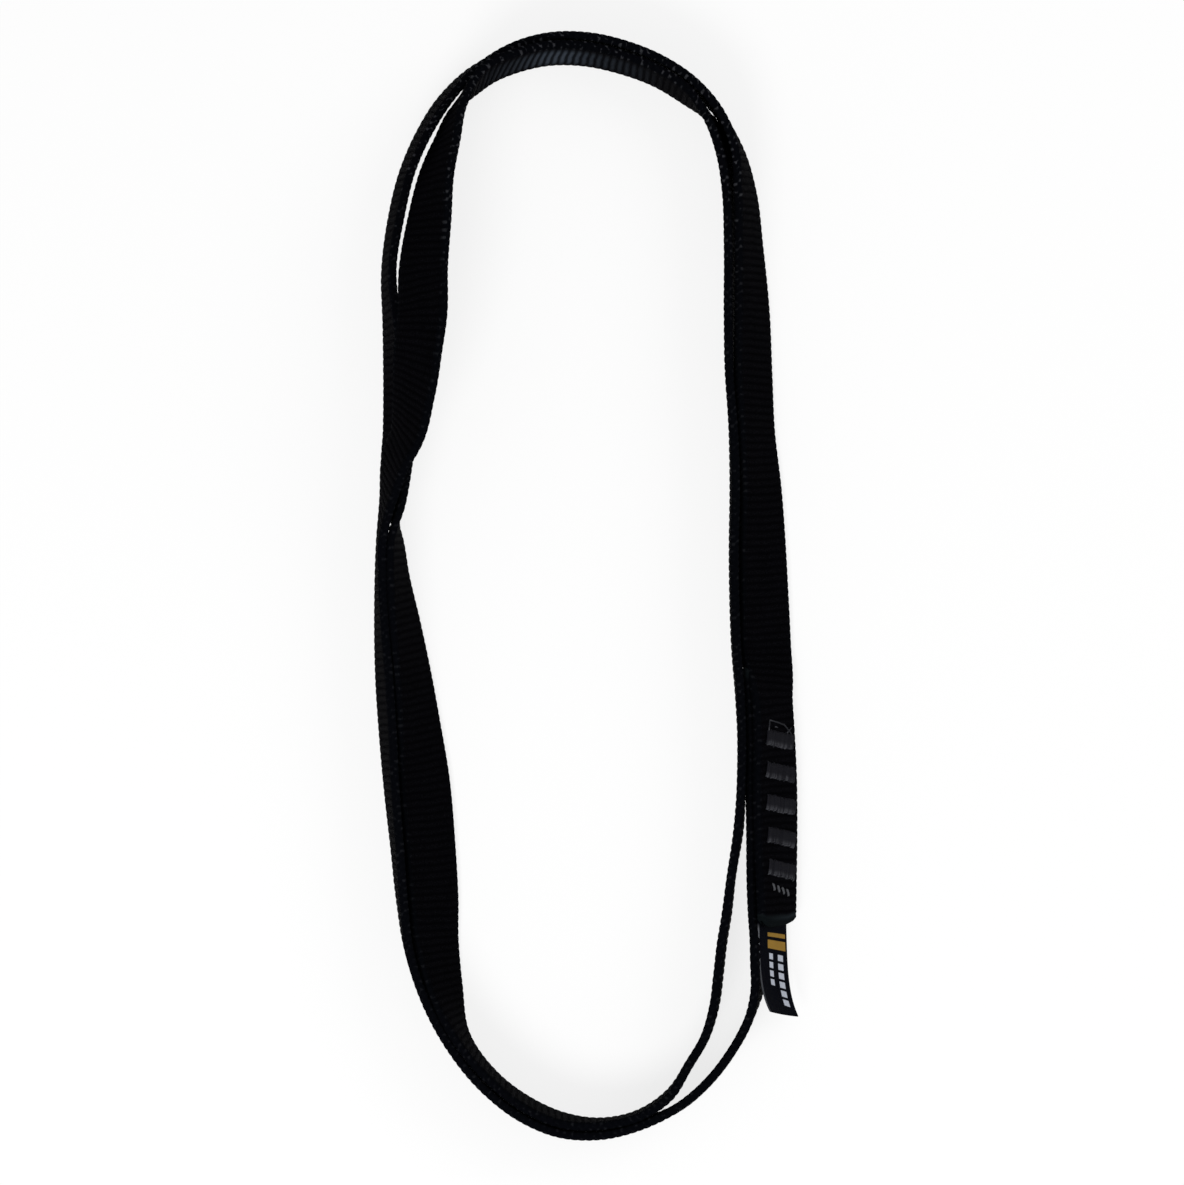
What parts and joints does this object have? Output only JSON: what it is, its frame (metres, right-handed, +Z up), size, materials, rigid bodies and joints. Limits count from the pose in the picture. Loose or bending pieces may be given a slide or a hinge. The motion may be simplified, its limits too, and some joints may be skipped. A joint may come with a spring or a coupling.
{
  "type": "climbing sling",
  "caption": "Endless sewn sling of flat webbing, doubled into two turns, with a bar-tacked lap and a hinged fabric label.",
  "frame": {"origin": "on the table, under the middle of the sling's box", "axes": "+Z up from the table, +Y along the loop towards the end away from the label, +X across the loop towards the sewn lap"},
  "size_m": [0.1276, 0.3304, 0.0371],
  "materials": {
    "webbing": "black woven nylon webbing with ribbed faces",
    "thread": "dark grey bonded sewing thread",
    "label": "near-black satin label fabric"
  },
  "bodies": {
    "sling": {"webbing": "webbing", "bar_tack_1": "thread", "bar_tack_2": "thread", "bar_tack_3": "thread", "bar_tack_4": "thread", "bar_tack_5": "thread", "end_stitches": "thread", "label_root": "label"},
    "label": {"label_tab": "label"}
  },
  "joints": [
    {"name": "label_flap", "type": "hinge", "parent": "sling", "child": "label", "pos_m": [0.05623, -0.10254, 0.01008], "axis": [-0.5075, -0.0017, 0.8616], "range_deg": [0, 90]}
  ]
}
